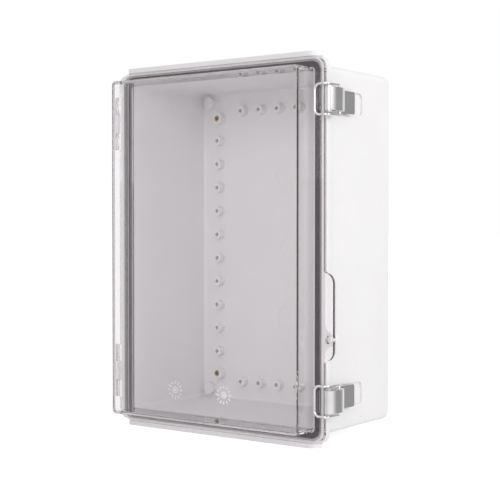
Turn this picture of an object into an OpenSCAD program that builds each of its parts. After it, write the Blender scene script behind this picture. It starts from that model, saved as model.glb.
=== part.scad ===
// Hinged wall enclosure with a clear raised-window lid and two stainless draw latches.
// The back of the body lies on the plane y = 0, the front faces -Y, and +Z is up.
// Sizes are in millimetres. "Depth" is a distance in front of the back face.

/* [Body] */
// Width across the side walls, at the front
body_w = 192; // [150:1:240]
// Height across the top and bottom walls, at the front
body_h = 270; // [225:1:340]
// Depth from the back face to the front of the rim
body_d = 97.4; // [80:0.1:130]
// Thickness of the side, top and bottom walls
wall_t = 3.4; // [2.8:0.1:4.2]
// Thickness of the back
back_t = 3.5; // [3:0.1:5]
// How much each wall leans in from front to back
draft = 1.4; // [0:0.1:2.5]
// Radius of the four long corners
corner_r = 6; // [5.5:0.5:14]
// Radius of the edges round the back face
back_edge_r = 5; // [2:0.5:5]

/* [Rim] */
// Overhang of the rim past each side wall
rim_side = 5; // [5:0.5:9]
// Overhang of the rim past the top and bottom walls
rim_top = 5.5; // [5:0.5:8]
// Thickness of the rim, from its front to its back
rim_t = 4.8; // [4.8:0.1:8]
// Corner radius of the rim
rim_r = 9; // [7:0.5:12]
// Length of each rain lip
lip_l = 190; // [140:1:200]
// Height of each rain lip above the rim
lip_h = 3.1; // [2:0.1:5]
// How far each rain lip reaches in front of the rim
lip_reach = 3.6; // [2:0.1:4]

/* [Lid] */
// Gap from each side of the rim in to the lid's side
lid_inset_side = 0; // [0:0.1:2]
// Gap from the rim's top and bottom in to the lid's
lid_inset_top = 2; // [1.5:0.1:3]
// Thickness of the lid's flange
lid_t = 3; // [2.5:0.1:4]
// Corner radius of the lid's flange
lid_r = 7.5; // [6:0.5:10]
// Width of the flange beside the window
flange_side = 9.2; // [8.8:0.1:12]
// Width of the flange above and below the window
flange_top = 6.1; // [6:0.1:9]
// How far the window stands in front of the flange
window_rise = 19.5; // [8:0.5:40]
// Thickness of the window's side walls
window_t = 2.6; // [2:0.1:3.5]
// Thickness of the window's front pane
pane_t = 3; // [2:0.1:4]
// Corner radius of the window
window_r = 3.2; // [3:0.1:6]
// Radius of the window's front edge
window_edge_r = 1.8; // [0.6:0.1:2.2]

/* [Seal] */
// Width of the gasket
gasket_w = 4.2; // [3:0.1:4.2]
// Thickness of the gasket
gasket_t = 1.8; // [1.5:0.1:2.2]
// Width of the tongue that presses on the gasket
tongue_w = 1.6; // [1:0.1:2.2]
// Thickness of the rib outside the gasket
rib_t = 1.2; // [0.9:0.1:1.2]
// Depth of the lid's ribs behind the flange
rib_d = 2.6; // [2.3:0.1:2.6]

/* [Hinges] */
// Distance from the end of the side wall to the middle of each hinge
hinge_from_end = 34.7; // [30:0.1:60]
// Radius of the knuckles
knuckle_r = 3.2; // [3:0.1:4]
// Length of the body's knuckle
body_knuckle_l = 15; // [10:0.5:24]
// Length of each of the lid's knuckles
lid_knuckle_l = 13.4; // [10:0.2:20]
// Radius of the hinge pin
hinge_pin_r = 1.5; // [1.2:0.05:1.8]

/* [Latches] */
// Depth of the block on the rim that each latch is riveted to
block_d = 12; // [11.5:0.5:16]
// How far the block stands out past the rim's side
block_out = 2; // [1:0.1:3]
// Thickness of the block's outer wall
block_t = 3.2; // [2.8:0.1:3.6]
// Distance from the end of the side wall to the middle of each latch
latch_from_end = 26.6; // [22:0.1:60]
// Height of the lever
lever_h = 16.6; // [14:0.2:24]
// Thickness of the lever's sheet
lever_t = 1.1; // [0.8:0.1:1.4]
// Length of the lever's tail
tail_l = 23; // [18:0.5:28]
// Radius of the lever's rounded front
nose_r = 3.3; // [3.2:0.1:3.6]
// Radius of the lever's raised back
hump_r = 27; // [24:0.5:32]
// Radius of the bail's wire
wire_r = 1; // [0.8:0.1:1.2]
// Radius of the lever pin
lever_pin_r = 1.1; // [0.9:0.05:1.2]
// Height of the catch ridge on the lid
catch_h = 1.1; // [0.8:0.1:1.1]

/* [Padlock tab] */
// Height of the tab's upper end above the middle of the lid
tab_top = -16; // [-30:1:20]
// Height of the tab's lower end above the middle of the lid
tab_bottom = -80; // [-84:1:-70]
// How far the tab reaches past the flange
tab_w = 8; // [7:0.5:9]
// Radius of the padlock hole
padlock_r = 3; // [2:0.1:3]
// Height of the padlock hole above the tab's lower end
padlock_rise = 16; // [12:0.5:24]

/* [Bosses] */
// Distance between the bosses in a column
column_pitch = 20; // [15:0.5:30]
// Distance between the bosses in a row
row_pitch = 19; // [15:0.5:30]
// Radius of a plain boss
boss_r = 4; // [3:0.1:5]
// Radius of the pilot hole in a plain boss
pilot_r = 1.7; // [1:0.1:2]
// Height of the bosses above the back's inside
boss_h = 6; // [4:0.5:12]
// Radius of a boss with a brass insert
insert_boss_r = 5; // [4.5:0.1:6]
// Outside radius of a brass insert
insert_r = 2.7; // [2.4:0.1:3]
// Radius of the insert's thread
thread_r = 1.65; // [1.2:0.05:2]
// Radius of the closed pads over the wall-fixing holes
pad_r = 5.1; // [4.5:0.1:5.5]
// Height of the closed pads
pad_h = 4.5; // [3:0.5:8]
// Radius of the wall-fixing holes
fixing_r = 2.2; // [1.5:0.1:3]

/* [Hidden] */
$fn = 48;
eps = 0.01;
run_gap = 0.05;     // between a moving pin and its bore
fit_gap = 0.02;     // between a fixed pin and its bore
face_gap = 0.1;     // between the closed lid and the rim
side_gap = 0.3;     // between knuckles, and round the seated lid

rim_w = body_w + 2 * rim_side;
rim_h = body_h + 2 * rim_top;
rim_x = rim_w / 2;
rim_z = rim_h / 2;
mouth_w = body_w - 2 * wall_t;
mouth_h = body_h - 2 * wall_t;

lid_w = rim_w - 2 * lid_inset_side;
lid_h = rim_h - 2 * lid_inset_top;
flange_back = body_d + face_gap;
flange_front = flange_back + lid_t;
window_front = flange_front + window_rise;
window_w = lid_w - 2 * flange_side;
window_h = lid_h - 2 * flange_top;

seal_in = 0.1;                                  // from the window's wall out to the gasket
gasket_off = seal_in + gasket_w;                // from the window's wall to the gasket's outside
rib_off = gasket_off + 0.1;
groove_off = rib_off + rib_t + 0.3;
groove_d = rib_d + 0.6;
tongue_front = flange_back - gasket_t - face_gap;

hinge_z = body_h / 2 - hinge_from_end;
hinge_x = -(rim_x + knuckle_r + 2.2);
hinge_d = flange_front - knuckle_r;
hinge_pin_l = body_knuckle_l + 2 * (side_gap + lid_knuckle_l) - 0.4;
knuckle_mid = (body_knuckle_l + lid_knuckle_l) / 2 + side_gap;

latch_z = body_h / 2 - latch_from_end;
seat_x = rim_x + block_out;                     // outer face of the block
pivot = [seat_x + 2.9, -flange_front - 0.7];
lever_x0 = seat_x + 0.3;                         // the lever's inner edge over the band
lever_top_x = seat_x + 7.25;
hump_c = [lever_top_x - hump_r,
          pivot.y + sqrt(pow(hump_r - nose_r, 2) - pow(pivot.x - lever_top_x + hump_r, 2))];
hump_a0 = atan2(pivot.y - hump_c.y, pivot.x - hump_c.x);
hump_a1 = 17;
hump_end = [cos(hump_a1), sin(hump_a1)];
bail_pivot = [seat_x + 2.1, -flange_front + 13.5];
bar = [seat_x - 8.4, -flange_front - wire_r - 1.3];
arm_z = lever_h / 2 + 1.7 + wire_r;
cheek_t = 1.2;
ear_t = 0.9;
ear_z = lever_h / 2 + 0.2 + ear_t;              // outer face of the base's ears
block_z = ear_z + 0.2;
base_t = 1.2;
base_front = -body_d + 0.5;
base_mid = -body_d + block_d / 2;               // where the plate narrows between the cheeks
base_back = -body_d + block_d - 1;
base_back_z = lever_h / 2 - cheek_t - 1.3;
rivet_y = base_back - 2.5;
rivet_z = 3;
rivet_r = 1.2;
tail_x = seat_x - 3.6;                           // outer face of the tail
tail_y0 = -body_d + block_d + 4;

tab_r = tab_w;
padlock = [lid_w / 2 + 4.1, tab_bottom + padlock_rise];
lug_t = 4;

insert_x = body_w / 2 - 23;
insert_z = body_h / 2 - 26;
row_z = body_h / 2 - 20.7;
column_n = floor((insert_z - insert_boss_r - boss_r) / column_pitch + 0.5);
row_n = floor((insert_x - 14) / row_pitch + 0.5);
insert_l = 5;
fixing_x = body_w / 2 - 12.5;
fixing_z = body_h / 2 - 12.4;
fixing_l = back_t + pad_h - 1.5;

// ---------------------------------------------------------------- shared shapes

// A rectangle with true round corners, in the plane of the lid.
module round_rect(w, h, r) {
    square([w - 2 * r, h], center = true);
    square([w, h - 2 * r], center = true);
    for (x = [-1, 1], z = [-1, 1])
        translate([x * (w / 2 - r), z * (h / 2 - r)]) circle(r);
}

// Extrudes a front-view outline between two depths.
module slab(d0, d1) {
    translate([0, -d0, 0]) rotate([90, 0, 0]) linear_extrude(d1 - d0) children();
}

// A cylinder along the depth, between two depths.
module post(x, z, r, d0, d1) {
    translate([x, -d0, z]) rotate([90, 0, 0]) cylinder(h = d1 - d0, r = r);
}

// A box of w by h with round corners, whose end at depth d_end has a rounded edge,
// and whose size there is smaller by "lean" on every side.
module soft_box(w, h, r, d_open, d_end, edge, lean) {
    way = sign(d_end - d_open);
    hull() {
        slab(min(d_open, d_open + way * eps), max(d_open, d_open + way * eps))
            round_rect(w, h, r, $fn = 32);
        for (a = [0, 30, 60, 90]) {
            inset = lean + edge * (1 - cos(a));
            d = d_end - way * edge * (1 - sin(a));
            slab(min(d, d - way * eps), max(d, d - way * eps))
                round_rect(w - 2 * inset, h - 2 * inset, r - edge * (1 - cos(a)), $fn = 32);
        }
    }
}

// A pie slice of a circle, between two angles less than 180 degrees apart.
module sector(c, r, a0, a1) {
    reach = 2 * r;
    mid = (a0 + a1) / 2;
    intersection() {
        translate(c) circle(r);
        polygon([c, c + reach * [cos(a0), sin(a0)], c + reach * [cos(mid), sin(mid)],
                 c + reach * [cos(a1), sin(a1)]]);
    }
}

// ---------------------------------------------------------------- body

module body_shell() {
    difference() {
        union() {
            soft_box(body_w, body_h, corner_r, body_d - rim_t, 0, back_edge_r, draft);
            slab(body_d - rim_t, body_d) round_rect(rim_w, rim_h, rim_r);
            for (s = [-1, 1]) rain_lip(s);
            for (s = [-1, 1]) body_knuckle(s * hinge_z);
            padlock_lug();
            for (s = [-1, 1]) latch_block(s * latch_z);
        }
        soft_box(mouth_w, mouth_h, corner_r - wall_t, body_d + 1, back_t, 2, draft);
        slab(body_d - groove_d, body_d + 1)
            round_rect(window_w + 2 * groove_off, window_h + 2 * groove_off, lid_r);
        for (s = [-1, 1]) block_pocket(s * latch_z);
        for (s = [-1, 1]) finger_recess(s * latch_z);
        for (s = [-1, 1], k = [-1, 1])
            translate([seat_x - block_t - 1, rivet_y, s * latch_z + k * rivet_z]) rotate([0, 90, 0])
                cylinder(h = block_t + 2, r = rivet_r + fit_gap);
        for (x = [-1, 1], z = [-1, 1])
            post(x * fixing_x, z * fixing_z, fixing_r, -1, back_t - eps);
    }
}

// The block beside the rim that a latch is riveted to.
module latch_block(z) {
    inner_x = body_w / 2 - 1.2;
    slab(body_d - block_d, body_d) translate([(inner_x + seat_x) / 2, z])
        square([seat_x - inner_x, 2 * block_z], center = true);
}

// The hollow in the back of the block, where the rivets' feet are.
module block_pocket(z) {
    pocket_x = body_w / 2 + 0.2;
    pocket_w = seat_x - block_t - pocket_x;
    slab(body_d - block_d - 1, body_d - groove_d - 2.6) translate([pocket_x + pocket_w / 2, z])
        square([pocket_w, 2 * block_z - 3.6], center = true);
}

// The lip that keeps rain off the joint, above or below the lid.
module rain_lip(s) {
    lip_d = body_d + lip_reach;
    translate([0, 0, s * (rim_z + lip_h / 2)]) linear_extrude(lip_h + 0.4, center = true)
        intersection() {
            translate([0, -lip_d + 20]) union() {
                square([lip_l - 16, 40], center = true);
                translate([0, 8]) square([lip_l, 40], center = true);
                for (x = [-1, 1]) translate([x * (lip_l / 2 - 8), -12]) circle(8);
            }
            translate([0, -lip_d + 4]) square([lip_l, 8], center = true);
        }
}

module body_knuckle(z) {
    difference() {
        translate([0, 0, z]) linear_extrude(body_knuckle_l, center = true) {
            translate([hinge_x, -hinge_d]) circle(knuckle_r);
            polygon([[hinge_x - knuckle_r + 0.1, -hinge_d], [hinge_x, -hinge_d - 0.5],
                     [hinge_x + knuckle_r, -hinge_d], [-rim_x, -hinge_d + 0.6],
                     [-body_w / 2 + 1, -hinge_d + 0.6], [-body_w / 2 + 1, -hinge_d + 14]]);
        }
        translate([hinge_x, -hinge_d, z])
            cylinder(h = body_knuckle_l + 2, r = hinge_pin_r + fit_gap, center = true);
    }
}

// The ear behind the lid's tab, with its own hole for the padlock.
module padlock_lug() {
    z = padlock.y;
    tip_x = padlock.x + 2.4;
    side = [[rim_x - 1, 13.5], [rim_x + 0.4, 9.2], [padlock.x - 2.2, 6.2], [padlock.x, 4.6], [tip_x, 3.5]];
    low = [for (p = side) [p.x, z - p.y]];
    high = [for (k = [len(side) - 1 : -1 : 0]) [side[k].x, z + side[k].y]];
    difference() {
        slab(body_d - lug_t, body_d - 0.2) {
            translate(padlock) circle(padlock_r + 1.2);
            polygon(concat(low, high));
        }
        post(padlock.x, z, padlock_r, body_d - lug_t - 1, body_d + 1);
    }
}

// The hollow in the side wall that a fingertip uses to lift the lever's tail.
module finger_recess(z) {
    recess_h = lever_h + 0.6;
    recess_l = 30.6;
    mid_y = tail_y0 + recess_l / 2 + 9;
    wall_x = body_w / 2 - draft * (1 + mid_y / (body_d - rim_t));
    translate([wall_x - wall_t * 0.55, 0, z]) rotate([90, 0, 90]) linear_extrude(20)
        translate([mid_y, 0]) round_rect(recess_l, recess_h, 4.5);
}

module boss(x, z, r, hole_r) {
    top = back_t + boss_h;
    difference() {
        post(x, z, r, back_t - 0.5, top);
        post(x, z, hole_r, back_t, top + 1);
    }
}

module back_bosses() {
    for (sx = [-1, 1], k = [-column_n + 0.5 : column_n - 0.5])
        boss(sx * insert_x, k * column_pitch, boss_r, pilot_r);
    for (sz = [-1, 1], k = [-row_n + 0.5 : row_n - 0.5])
        boss(k * row_pitch, sz * row_z, boss_r, pilot_r);
    for (sx = [-1, 1], sz = [-1, 1]) {
        boss(sx * insert_x, sz * insert_z, insert_boss_r, insert_r + fit_gap);
        difference() {
            post(sx * fixing_x, sz * fixing_z, pad_r, back_t - 0.5, back_t + pad_h);
            post(sx * fixing_x, sz * fixing_z, fixing_r, -1, fixing_l);
        }
    }
}

// The ridge round the mouth that bites into the gasket.
module tongue() {
    off = seal_in + gasket_w / 2;
    slab(body_d - groove_d - 0.5, tongue_front) difference() {
        round_rect(window_w + 2 * off + tongue_w, window_h + 2 * off + tongue_w, window_r + off);
        round_rect(window_w + 2 * off - tongue_w, window_h + 2 * off - tongue_w, window_r + off - tongue_w);
    }
}

module body() {
    color("gainsboro") {
        body_shell();
        tongue();
        back_bosses();
    }
}

// ---------------------------------------------------------------- lid

module lid_knuckle(z) {
    web_x = -lid_w / 2 + 3;
    difference() {
        union() {
            translate([hinge_x, -hinge_d, z]) cylinder(h = lid_knuckle_l, r = knuckle_r, center = true);
            translate([hinge_x, -flange_front, z - lid_knuckle_l / 2])
                cube([web_x - hinge_x, lid_t, lid_knuckle_l]);
        }
        translate([hinge_x, -hinge_d, z])
            cylinder(h = lid_knuckle_l + 2, r = hinge_pin_r + run_gap, center = true);
        for (x = [hinge_x + knuckle_r - 0.4, -lid_w / 2 + 0.4])
            translate([x, -flange_front - 1, z - lid_knuckle_l / 4]) cube([1.6, 2.2, lid_knuckle_l / 2]);
    }
}

// The hollow curve between the flange's side and the end of the tab.
module tab_fillet() {
    r = 3;
    dip = tab_r - sqrt(tab_r * tab_r - r * r);
    difference() {
        translate([-0.5, -1]) square([r + 0.5, r + 1 - dip]);
        translate([r - 0.1, r - dip - 0.1]) circle(r);
    }
}

// The clear tab beside the latches that a padlock passes through.
module padlock_tab() {
    edge = lid_w / 2;
    difference() {
        slab(flange_back, flange_front) {
            for (z = [tab_top - tab_r, tab_bottom + tab_r]) translate([edge, z]) circle(tab_r);
            translate([edge - 1, tab_bottom + tab_r]) square([tab_w + 1, tab_top - tab_bottom - 2 * tab_r]);
            for (s = [-1, 1]) translate([edge, s > 0 ? tab_top : tab_bottom]) scale([1, s]) tab_fillet();
        }
        post(padlock.x, padlock.y, padlock_r, flange_back - 1, flange_front + 1);
    }
}

// The ridge on the flange that keeps the bail's bar from sliding off.
module catch(z) {
    catch_w = 2.2;
    catch_l = lever_h;
    x = bar.x + wire_r + 0.3 + catch_w / 2;
    slab(flange_front - 0.5, flange_front + catch_h) translate([x, z])
        round_rect(catch_w, catch_l, catch_w / 2 - eps);
}

module lid() {
    in_w = window_w - 2 * window_t;
    in_h = window_h - 2 * window_t;
    color("lightsteelblue", 0.4) {
        difference() {
            union() {
                slab(flange_back, flange_front) round_rect(lid_w, lid_h, lid_r);
                soft_box(window_w, window_h, window_r, flange_back - rib_d, window_front, window_edge_r, 0);
                slab(flange_back - rib_d, flange_back + 0.5) difference() {
                    round_rect(window_w + 2 * (rib_off + rib_t), window_h + 2 * (rib_off + rib_t),
                               window_r + rib_off);
                    round_rect(window_w + 2 * rib_off, window_h + 2 * rib_off, window_r + rib_off - rib_t);
                }
                for (s = [-1, 1], k = [-1, 1]) lid_knuckle(s * hinge_z + k * knuckle_mid);
                for (s = [-1, 1]) catch(s * latch_z);
                padlock_tab();
            }
            slab(flange_back - rib_d - 1, window_front - pane_t) round_rect(in_w, in_h, 1);
        }
    }
}

module gasket() {
    color("dimgray") slab(flange_back - gasket_t, flange_back) difference() {
        round_rect(window_w + 2 * gasket_off, window_h + 2 * gasket_off, window_r + gasket_off);
        round_rect(window_w + 2 * seal_in, window_h + 2 * seal_in, window_r + seal_in);
    }
}

module hinge_pin(z) {
    color("silver") translate([hinge_x, -hinge_d, z])
        cylinder(h = hinge_pin_l, r = hinge_pin_r, center = true);
}

module plate_inserts() {
    top = back_t + boss_h;
    color("goldenrod") for (sx = [-1, 1], sz = [-1, 1]) difference() {
        post(sx * insert_x, sz * insert_z, insert_r, top - insert_l, top);
        post(sx * insert_x, sz * insert_z, thread_r, top - insert_l - 1, top + 1);
    }
}

// ---------------------------------------------------------------- latches

// The bracket on the block: a stepped plate with two ears that hold the lever pin.
module latch_base(z) {
    color("silver") translate([0, 0, z]) difference() {
        union() {
            translate([seat_x, base_front, -ear_z]) cube([base_t, base_mid - base_front, 2 * ear_z]);
            translate([seat_x, base_mid - 1, -base_back_z])
                cube([base_t, base_back - base_mid + 1, 2 * base_back_z]);
            for (s = [-1, 1]) translate([0, 0, s * (ear_z - ear_t / 2)])
                linear_extrude(ear_t, center = true) {
                    translate(pivot) circle(2.3);
                    polygon([[seat_x, base_mid], [seat_x, base_front], [pivot.x - 1.9, pivot.y + 1.2],
                             [pivot.x + 1.9, pivot.y + 1.2], [seat_x + base_t + 1.4, base_mid]]);
                }
        }
        translate(pivot) cylinder(h = 3 * ear_z, r = lever_pin_r + fit_gap, center = true);
        for (k = [-1, 1]) translate([seat_x - 1, rivet_y, k * rivet_z]) rotate([0, 90, 0])
            cylinder(h = base_t + 2, r = rivet_r + fit_gap);
    }
}

module latch_rivets(z) {
    head_x = seat_x + base_t;
    foot_x = seat_x - block_t;
    color("silver") for (k = [-1, 1]) translate([0, rivet_y, z + k * rivet_z]) rotate([0, 90, 0]) {
        translate([0, 0, foot_x - 0.5]) cylinder(h = head_x - foot_x + 1, r = rivet_r);
        translate([0, 0, head_x]) cylinder(h = 0.8, r1 = 2, r2 = 1.4);
        translate([0, 0, foot_x - 0.8]) cylinder(h = 0.8, r1 = 1.4, r2 = 1.9);
    }
}

module lever_pin(z) {
    color("silver") translate([pivot.x, pivot.y, z])
        cylinder(h = 2 * ear_z + 0.4, r = lever_pin_r, center = true);
}

// The lever's bent sheet, seen along its height: nose, raised back and rear fold.
module lever_sheet() {
    out_end = hump_c + hump_r * hump_end;
    in_end = hump_c + (hump_r - lever_t) * hump_end;
    difference() {
        sector(hump_c, hump_r, hump_a0, hump_a1);
        translate(hump_c) circle(hump_r - lever_t);
    }
    difference() {
        sector(pivot, nose_r, -170, hump_a0);
        translate(pivot) circle(nose_r - lever_t);
    }
    polygon([in_end, out_end, [tail_x, tail_y0], [tail_x, tail_y0 + 1.5],
             [tail_x - lever_t, tail_y0 + 1.5], [tail_x - lever_t, tail_y0 - 0.6]]);
}

// The two side plates that carry the pin and the bail's ends.
module lever_cheek() {
    fold_a = hump_c + (hump_r - lever_t / 2) * hump_end;
    fold_b = [tail_x - lever_t / 2, tail_y0];
    part_way = (fold_a.x - lever_x0) / (fold_a.x - fold_b.x);
    over_plate_x = seat_x + base_t + 0.3;
    difference() {
        union() {
            translate(pivot) circle(nose_r);
            intersection() {
                translate(hump_c) circle(hump_r - lever_t / 2);
                polygon([fold_a, fold_a + part_way * (fold_b - fold_a), [lever_x0, base_mid + 0.4],
                         [over_plate_x, base_mid + 0.4], [over_plate_x, pivot.y + 4],
                         [pivot.x - 1.4, pivot.y], [pivot.x + 9, pivot.y], [fold_a.x + 3, fold_a.y]]);
            }
        }
        translate(pivot) circle(lever_pin_r + run_gap);
        translate(bail_pivot) circle(wire_r + run_gap);
    }
}

module lever(z) {
    color("lightgray") translate([0, 0, z]) {
        linear_extrude(lever_h, center = true) lever_sheet();
        for (s = [-1, 1]) translate([0, 0, s * (lever_h - cheek_t) / 2])
            linear_extrude(cheek_t, center = true) lever_cheek();
        translate([tail_x - lever_t, 0, 0]) rotate([90, 0, 90]) linear_extrude(lever_t) {
            translate([tail_y0 + tail_l / 2, 0]) round_rect(tail_l, lever_h, 1.8);
            translate([tail_y0 + 2, 0]) square([2, lever_h], center = true);
        }
    }
}

// A quarter bend of the bail's wire, from angle 0 to 90 about the Z axis.
module wire_bend(r) {
    rotate_extrude(angle = 90) translate([r, 0]) circle(wire_r);
}

// Half of the bail, from the middle of its bar round to the end that enters the lever.
module half_bail() {
    end_r = 2.2;
    arm_r = 3;
    bar_r = 4;
    end_z = lever_h / 2 - cheek_t - 0.2;
    translate([bail_pivot.x, bail_pivot.y, end_z]) cylinder(h = arm_z - end_r - end_z, r = wire_r);
    translate([bail_pivot.x, bail_pivot.y - end_r, arm_z - end_r]) rotate([90, 0, 90]) wire_bend(end_r);
    translate([bail_pivot.x, bail_pivot.y - end_r, arm_z]) rotate([90, 0, 0])
        cylinder(h = bail_pivot.y - end_r - bar.y - arm_r, r = wire_r);
    translate([bail_pivot.x - arm_r, bar.y + arm_r, arm_z]) rotate([0, 0, -90]) wire_bend(arm_r);
    translate([bar.x + bar_r, bar.y, arm_z]) rotate([0, 90, 0])
        cylinder(h = bail_pivot.x - arm_r - bar.x - bar_r, r = wire_r);
    translate([bar.x + bar_r, bar.y, arm_z - bar_r]) rotate([90, 0, 0]) rotate([0, 0, 90]) wire_bend(bar_r);
    translate([bar.x, bar.y, 0]) cylinder(h = arm_z - bar_r, r = wire_r);
}

module bail(z) {
    color("silver") translate([0, 0, z]) {
        half_bail();
        mirror([0, 0, 1]) half_bail();
    }
}

body();
lid();
gasket();
hinge_pin(hinge_z);  // upper_hinge_pin
hinge_pin(-hinge_z);  // lower_hinge_pin
plate_inserts();
latch_base(latch_z);  // upper_latch_base
latch_rivets(latch_z);  // upper_latch_rivets
lever_pin(latch_z);  // upper_lever_pin
lever(latch_z);  // upper_lever
bail(latch_z);  // upper_bail
latch_base(-latch_z);  // lower_latch_base
latch_rivets(-latch_z);  // lower_latch_rivets
lever_pin(-latch_z);  // lower_lever_pin
lever(-latch_z);  // lower_lever
bail(-latch_z);  // lower_bail
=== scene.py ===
from math import cos, pi, sin

import bmesh
import bpy
from mathutils import Matrix, Vector


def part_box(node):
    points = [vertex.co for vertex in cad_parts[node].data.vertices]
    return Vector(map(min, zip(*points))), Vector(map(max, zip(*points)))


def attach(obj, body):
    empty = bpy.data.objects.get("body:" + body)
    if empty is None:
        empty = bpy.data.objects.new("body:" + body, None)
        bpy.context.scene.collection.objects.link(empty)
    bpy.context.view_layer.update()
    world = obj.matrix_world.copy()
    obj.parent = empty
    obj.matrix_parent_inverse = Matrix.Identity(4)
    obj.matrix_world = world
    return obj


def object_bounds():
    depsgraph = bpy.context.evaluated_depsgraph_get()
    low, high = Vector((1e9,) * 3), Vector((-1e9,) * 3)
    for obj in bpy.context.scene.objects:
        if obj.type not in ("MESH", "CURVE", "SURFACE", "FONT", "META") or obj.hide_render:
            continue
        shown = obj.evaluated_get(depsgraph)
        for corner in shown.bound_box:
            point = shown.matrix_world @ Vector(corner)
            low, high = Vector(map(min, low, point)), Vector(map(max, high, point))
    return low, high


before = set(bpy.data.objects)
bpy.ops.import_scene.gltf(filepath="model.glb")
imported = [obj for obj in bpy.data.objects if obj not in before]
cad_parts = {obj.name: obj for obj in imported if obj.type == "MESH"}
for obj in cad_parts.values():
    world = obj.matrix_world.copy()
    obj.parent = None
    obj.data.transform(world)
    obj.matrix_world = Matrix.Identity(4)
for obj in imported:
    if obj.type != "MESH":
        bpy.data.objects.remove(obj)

cad_box = [list(corner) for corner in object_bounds()]
MM = 0.001
OPAQUE_IOR = 1.58
CLEAR_IOR = 1.585


# ---------------------------------------------------------------- finishes

def new_finish(name):
    """A material with an empty tree, its output and its main shader."""
    finish = bpy.data.materials.new(name)
    finish.use_nodes = True
    tree = finish.node_tree
    tree.nodes.clear()
    shader = tree.nodes.new("ShaderNodeBsdfPrincipled")
    out = tree.nodes.new("ShaderNodeOutputMaterial")
    tree.links.new(shader.outputs["BSDF"], out.inputs["Surface"])
    return finish, tree, shader


def grain(tree, scale, detail=2.0, stretch=(1, 1, 1)):
    """Soft noise in the object's own space; stretch makes it run along an axis."""
    place = tree.nodes.new("ShaderNodeTexCoord")
    mapping = tree.nodes.new("ShaderNodeMapping")
    mapping.inputs["Scale"].default_value = stretch
    tree.links.new(place.outputs["Object"], mapping.inputs["Vector"])
    noise = tree.nodes.new("ShaderNodeTexNoise")
    noise.inputs["Scale"].default_value = scale
    noise.inputs["Detail"].default_value = detail
    tree.links.new(mapping.outputs["Vector"], noise.inputs["Vector"])
    return noise.outputs["Fac"]


def ranged(tree, value, low, high, start=0.3, end=0.7):
    """Maps the middle of a noise to a range of values."""
    ramp = tree.nodes.new("ShaderNodeMapRange")
    ramp.inputs["From Min"].default_value = start
    ramp.inputs["From Max"].default_value = end
    ramp.inputs["To Min"].default_value = low
    ramp.inputs["To Max"].default_value = high
    tree.links.new(value, ramp.inputs["Value"])
    return ramp.outputs["Result"]


def tinted(tree, shader, value, dark, light, start=0.3, end=0.7):
    """Drifts the shader's colour between two near shades."""
    mix = tree.nodes.new("ShaderNodeMix")
    mix.data_type = "RGBA"
    mix.inputs["A"].default_value = (*dark, 1)
    mix.inputs["B"].default_value = (*light, 1)
    tree.links.new(ranged(tree, value, 0, 1, start, end), mix.inputs["Factor"])
    tree.links.new(mix.outputs["Result"], shader.inputs["Base Color"])


def bumped(tree, value, height, strength=0.5, below=None):
    """A bump of that height in metres, on top of the bump below it."""
    bump = tree.nodes.new("ShaderNodeBump")
    bump.inputs["Strength"].default_value = strength
    bump.inputs["Distance"].default_value = height
    tree.links.new(value, bump.inputs["Height"])
    if below:
        tree.links.new(below, bump.inputs["Normal"])
    return bump.outputs["Normal"]


def larger(tree, first, second):
    """The larger of two values."""
    pick = tree.nodes.new("ShaderNodeMath")
    pick.operation = "MAXIMUM"
    tree.links.new(first, pick.inputs[0])
    tree.links.new(second, pick.inputs[1])
    return pick.outputs[0]


def blended(tree, factor, first, second):
    """Sends a blend of two shaders to the material's output."""
    mix = tree.nodes.new("ShaderNodeMixShader")
    tree.links.new(factor, mix.inputs["Fac"])
    tree.links.new(first, mix.inputs[1])
    tree.links.new(second, mix.inputs[2])
    out = next(n for n in tree.nodes if n.type == "OUTPUT_MATERIAL")
    tree.links.new(mix.outputs["Shader"], out.inputs["Surface"])


def grey_moulding():
    """Opaque polycarbonate with a fine satin grain."""
    finish, tree, shader = new_finish("grey_moulding")
    shader.inputs["IOR"].default_value = OPAQUE_IOR
    tinted(tree, shader, grain(tree, 28, 3), (0.835, 0.820, 0.829), (0.858, 0.846, 0.854))
    tree.links.new(ranged(tree, grain(tree, 160, 4), 0.34, 0.46), shader.inputs["Roughness"])
    fine = bumped(tree, grain(tree, 2600, 2), 0.03 * MM, 0.35)
    tree.links.new(bumped(tree, grain(tree, 55, 2), 0.15 * MM, 0.12, fine), shader.inputs["Normal"])
    return finish


def clear_window():
    """Clear polycarbonate. Light for the inside goes straight through it."""
    finish, tree, shader = new_finish("clear_window")
    shader.inputs["Base Color"].default_value = (0.996, 0.990, 0.995, 1)
    shader.inputs["Roughness"].default_value = 0
    shader.inputs["Transmission Weight"].default_value = 1
    shader.inputs["IOR"].default_value = CLEAR_IOR
    draw_lines = grain(tree, 260, 2, (1, 1, 0.02))
    tree.links.new(bumped(tree, draw_lines, 0.02 * MM, 0.03), shader.inputs["Normal"])
    passing = tree.nodes.new("ShaderNodeBsdfTransparent")
    passing.inputs["Color"].default_value = (0.985, 0.972, 0.980, 1)
    ray = tree.nodes.new("ShaderNodeLightPath")
    lighting = larger(tree, ray.outputs["Is Shadow Ray"], ray.outputs["Is Diffuse Ray"])
    blended(tree, lighting, shader.outputs["BSDF"], passing.outputs["BSDF"])
    return finish


def seal_foam():
    """Dark closed-cell foam."""
    finish, tree, shader = new_finish("seal_foam")
    shader.inputs["Roughness"].default_value = 0.9
    tinted(tree, shader, grain(tree, 900, 3), (0.052, 0.046, 0.054), (0.095, 0.087, 0.098))
    tree.links.new(bumped(tree, grain(tree, 1800, 3), 0.1 * MM, 0.6), shader.inputs["Normal"])
    return finish


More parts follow.
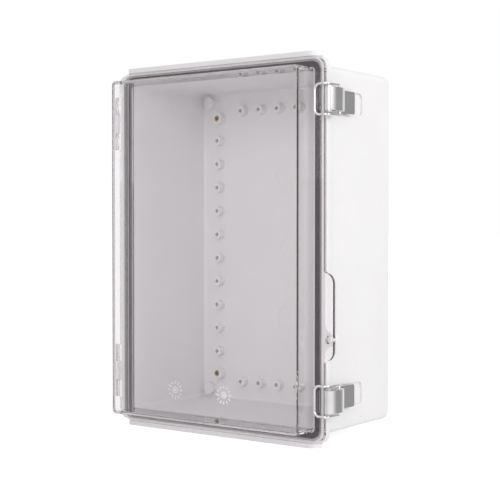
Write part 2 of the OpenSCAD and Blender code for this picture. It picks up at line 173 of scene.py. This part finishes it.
def stainless(name, shade, rough, lines):
    """Stainless steel whose polishing lines run along an axis."""
    finish, tree, shader = new_finish(name)
    shader.inputs["Metallic"].default_value = 1
    tinted(tree, shader, grain(tree, 60, 3), [0.93 * level for level in shade], shade)
    marks = grain(tree, 420, 3, lines)
    tree.links.new(ranged(tree, marks, rough * 0.75, rough * 1.3), shader.inputs["Roughness"])
    tree.links.new(bumped(tree, marks, 0.02 * MM, 0.18), shader.inputs["Normal"])
    return finish


def brass():
    """Turned brass of the threaded inserts."""
    finish, tree, shader = new_finish("insert_brass")
    shader.inputs["Metallic"].default_value = 1
    tinted(tree, shader, grain(tree, 300, 3), (0.50, 0.36, 0.17), (0.66, 0.50, 0.26))
    tree.links.new(ranged(tree, grain(tree, 700, 2), 0.25, 0.42), shader.inputs["Roughness"])
    return finish


grey = grey_moulding()
clear = clear_window()
foam = seal_foam()
satin = stainless("satin_stainless", (0.64, 0.625, 0.62), 0.30, (1, 0.08, 1))
polished = stainless("polished_stainless", (0.82, 0.805, 0.805), 0.12, (1, 0.05, 1))
insert_brass = brass()


def dress(node, finish):
    """Gives a CAD node its finish."""
    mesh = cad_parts[node].data
    mesh.materials.clear()
    mesh.materials.append(finish)


for node, finish in {"body": grey, "lid": clear, "gasket": foam, "plate_inserts": insert_brass,
                     "upper_hinge_pin": satin, "lower_hinge_pin": satin}.items():
    dress(node, finish)
for side in ("upper", "lower"):
    for part in ("latch_base", "latch_rivets", "lever_pin"):
        dress(f"{side}_{part}", satin)
    for part in ("lever", "bail"):
        dress(f"{side}_{part}", polished)


# ---------------------------------------------------------------- small relief

def keep(shape, name, finish, body):
    """Makes a finished piece of a bmesh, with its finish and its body."""
    bmesh.ops.remove_doubles(shape, verts=shape.verts, dist=1e-7)
    bmesh.ops.recalc_face_normals(shape, faces=shape.faces)
    mesh = bpy.data.meshes.new(name)
    shape.to_mesh(mesh)
    shape.free()
    mesh.materials.append(finish)
    piece = bpy.data.objects.new(name, mesh)
    bpy.context.scene.collection.objects.link(piece)
    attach(piece, body)


def place_new(shape, centre):
    """Moves what was made since the last call, and marks it as placed."""
    new = [vert for vert in shape.verts if not vert.tag]
    bmesh.ops.translate(shape, verts=new, vec=centre)
    for vert in new:
        vert.tag = True


def add_ring(shape, centre, radius, width, height):
    """A square-sided ring that faces -Y, raised above the face at the centre's depth."""
    sides = [(radius - width / 2, 0), (radius + width / 2, 0), (radius + width / 2, -height),
             (radius - width / 2, -height)]
    profile = [shape.verts.new((x, y, 0)) for x, y in sides]
    edges = [shape.edges.new((profile[k], profile[(k + 1) % 4])) for k in range(4)]
    bmesh.ops.spin(shape, geom=profile + edges, cent=(0, 0, 0), axis=(0, 1, 0), angle=2 * pi,
                   steps=48, use_merge=True)
    place_new(shape, centre)


def add_bar(shape, size, place, turn):
    """A small bar, turned about the depth axis before it is placed."""
    made = bmesh.ops.create_cube(shape, size=1)["verts"]
    bmesh.ops.scale(shape, verts=made, vec=size)
    bmesh.ops.rotate(shape, verts=made, cent=(0, 0, 0), matrix=Matrix.Rotation(turn, 3, "Y"))
    place_new(shape, place)


DIAL_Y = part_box("lid")[0].y + 0.2 * MM     # just inside the pane's outer face
DIAL_Z = -108.3 * MM
# the last number is a painted glow, emission that lightens a dial beyond the light that reaches it
DIALS = (("left_dial", -24 * MM, 0.0), ("right_dial", 24 * MM, 0.16))       # name, x, glow
DIAL_RINGS = ((2.2 * MM, 0.5 * MM), (0.5 * MM, 0.8 * MM))                   # radius, width
STROKES = 12
STROKE_R = 5.9 * MM                       # from the dial's middle to a stroke's middle
STROKE_W = 0.75 * MM
STROKE_L = 1.9 * MM
RELIEF_H = 0.14 * MM
BACK_IN = -3.5 * MM                       # the inside of the back
EJECTOR_MARKS = ((60 * MM, 12.6 * MM), (0, 9.3 * MM), (-60 * MM, 12.6 * MM))    # z, radius
MARK_W = 0.7 * MM
MARK_H = 0.4 * MM
SUNK = 0.05 * MM                          # how far a mark is sunk into the face it stands on


def dial_relief(name, painted_glow):
    """The frosted face of a small moulded relief, with a painted glow: its emission makes it
    brighter than the light on it.
    """
    finish, tree, shader = new_finish(name)
    shader.inputs["Emission Color"].default_value = (1, 1, 1, 1)
    # painted glow: emission stands in for light the relief does not get
    shader.inputs["Emission Strength"].default_value = painted_glow
    shader.inputs["IOR"].default_value = CLEAR_IOR
    tinted(tree, shader, grain(tree, 900, 2), (0.94, 0.94, 0.945), (0.97, 0.97, 0.975))
    tree.links.new(ranged(tree, grain(tree, 1500, 2), 0.35, 0.6), shader.inputs["Roughness"])
    return finish


for name, x, painted_glow in DIALS:
    shape = bmesh.new()
    middle = Vector((x, DIAL_Y, DIAL_Z))
    for ring_r, wide in DIAL_RINGS:
        add_ring(shape, middle, ring_r, wide, RELIEF_H)
    for k in range(STROKES):
        turn = 2 * pi * k / STROKES
        offset = Vector((STROKE_R * sin(turn), -RELIEF_H / 2, STROKE_R * cos(turn)))
        add_bar(shape, (STROKE_W, RELIEF_H, STROKE_L), middle + offset, turn)
    keep(shape, name, dial_relief(name + "_relief", painted_glow), "lid")

shape = bmesh.new()
for z, radius in EJECTOR_MARKS:
    add_ring(shape, Vector((0, BACK_IN + SUNK, z)), radius, MARK_W, MARK_H)
keep(shape, "ejector_rings", grey, "body")


# ---------------------------------------------------------------- studio

FLOOR_SIZE = 12
FLOOR_SHADE = 0.80
FLOOR_LIGHT = 0.12            # what the floor adds to the light on the object
FLOOR_SEEN = 0.62             # what it adds for the eye, so that it shows white
AIR_LIGHT = 0.60
BEHIND = (0.59, 0.81, 0)      # the direction that the latch tails mirror
FRONT_LEVEL = 0.74            # how bright mirrors see the room in front
BEHIND_LEVEL = 0.36           # and behind
KEY_PLACE, KEY_SIZE, KEY_POWER = (1.7, 0.15, 0.75), 0.9, 12
FILL_PLACE, FILL_SIZE, FILL_POWER = (0.9, -1.75, 0.6), 1.0, 8
LENS = 92.13
SENSOR = 36
EYE = (0.6260, -0.8541, 0.01945)
EYE_DIP, EYE_TURN = 0.0208, 0.6662

def studio_floor(z):
    """A plain pale floor that shows white where nothing shades it."""
    shape = bmesh.new()
    bmesh.ops.create_grid(shape, x_segments=1, y_segments=1, size=FLOOR_SIZE)
    bmesh.ops.translate(shape, verts=shape.verts, vec=(0, 0, z))
    mesh = bpy.data.meshes.new("floor")
    shape.to_mesh(mesh)
    shape.free()
    floor = bpy.data.objects.new("floor", mesh)
    bpy.context.scene.collection.objects.link(floor)
    finish, tree, shader = new_finish("pale_floor")
    shader.inputs["Base Color"].default_value = (FLOOR_SHADE, FLOOR_SHADE, FLOOR_SHADE, 1)
    shader.inputs["Roughness"].default_value = 0.9
    shader.inputs["Specular IOR Level"].default_value = 0
    shader.inputs["Emission Color"].default_value = (1, 1, 1, 1)
    tree.links.new(seen_directly(tree, FLOOR_LIGHT, FLOOR_SEEN), shader.inputs["Emission Strength"])
    plain = tree.nodes.new("ShaderNodeEmission")
    back = tree.nodes.new("ShaderNodeNewGeometry").outputs["Incoming"]
    tree.links.new(mirrored_level(tree, back, -1), plain.inputs["Strength"])
    ray = tree.nodes.new("ShaderNodeLightPath")
    blended(tree, ray.outputs["Is Glossy Ray"], shader.outputs["BSDF"], plain.outputs["Emission"])
    mesh.materials.append(finish)


def mirrored_level(tree, way, sign):
    """How bright the room looks to mirrors along a direction: darkest behind the object."""
    along = tree.nodes.new("ShaderNodeVectorMath")
    along.operation = "DOT_PRODUCT"
    along.inputs[1].default_value = [sign * part for part in BEHIND]
    tree.links.new(way, along.inputs[0])
    front = ranged(tree, along.outputs["Value"], FRONT_LEVEL, 1.0, -1, -0.3)
    behind = ranged(tree, along.outputs["Value"], 1.0, BEHIND_LEVEL, 0.87, 0.97)
    level = tree.nodes.new("ShaderNodeMath")
    level.operation = "MULTIPLY"
    tree.links.new(front, level.inputs[0])
    tree.links.new(behind, level.inputs[1])
    return level.outputs[0]


def seen_directly(tree, unseen, seen):
    """One value for lighting the object and another for what the camera, metal and glass see."""
    ray = tree.nodes.new("ShaderNodeLightPath")
    either = larger(tree, ray.outputs["Is Camera Ray"], ray.outputs["Is Glossy Ray"])
    any_of_them = larger(tree, either, ray.outputs["Is Transmission Ray"])
    return ranged(tree, any_of_them, unseen, seen, 0, 1)


def studio_air(level):
    """White round the object for the eye, and soft light of that level on it."""
    world = bpy.data.worlds.new("studio_air")
    bpy.context.scene.world = world
    world.use_nodes = True
    tree = world.node_tree
    background = next(n for n in tree.nodes if n.type == "BACKGROUND")
    background.inputs["Color"].default_value = (1, 1, 1, 1)
    ray = tree.nodes.new("ShaderNodeLightPath")
    way = tree.nodes.new("ShaderNodeTexCoord").outputs["Generated"]
    pick = tree.nodes.new("ShaderNodeMix")
    tree.links.new(ray.outputs["Is Glossy Ray"], pick.inputs["Factor"])
    tree.links.new(seen_directly(tree, level, 1.0), pick.inputs["A"])
    tree.links.new(mirrored_level(tree, way, 1), pick.inputs["B"])
    tree.links.new(pick.outputs["Result"], background.inputs["Strength"])


def softbox(name, place, size, power):
    """A square soft lamp at a place, turned to the middle of the object's back."""
    lamp = bpy.data.lights.new(name, "AREA")
    lamp.shape = "SQUARE"
    lamp.size = size
    lamp.energy = power
    holder = bpy.data.objects.new(name, lamp)
    bpy.context.scene.collection.objects.link(holder)
    holder.location = place
    holder.rotation_euler = (-Vector(place)).to_track_quat("-Z", "Y").to_euler()


studio_air(AIR_LIGHT)
studio_floor(cad_box[0][2])
softbox("key", KEY_PLACE, KEY_SIZE, KEY_POWER)
softbox("fill", FILL_PLACE, FILL_SIZE, FILL_POWER)

camera = bpy.data.cameras.new("camera")
camera.lens = LENS
camera.sensor_width = SENSOR
eye = bpy.data.objects.new("camera", camera)
bpy.context.scene.collection.objects.link(eye)
eye.location = EYE
eye.rotation_euler = (pi / 2 - EYE_DIP, 0, EYE_TURN)
bpy.context.scene.camera = eye
bpy.context.scene.view_settings.view_transform = "Standard"
light_paths = bpy.context.scene.cycles          # light runs far along the lid's clear walls
light_paths.max_bounces = 72
light_paths.glossy_bounces = 64
light_paths.transmission_bounces = 64
light_paths.transparent_max_bounces = 24
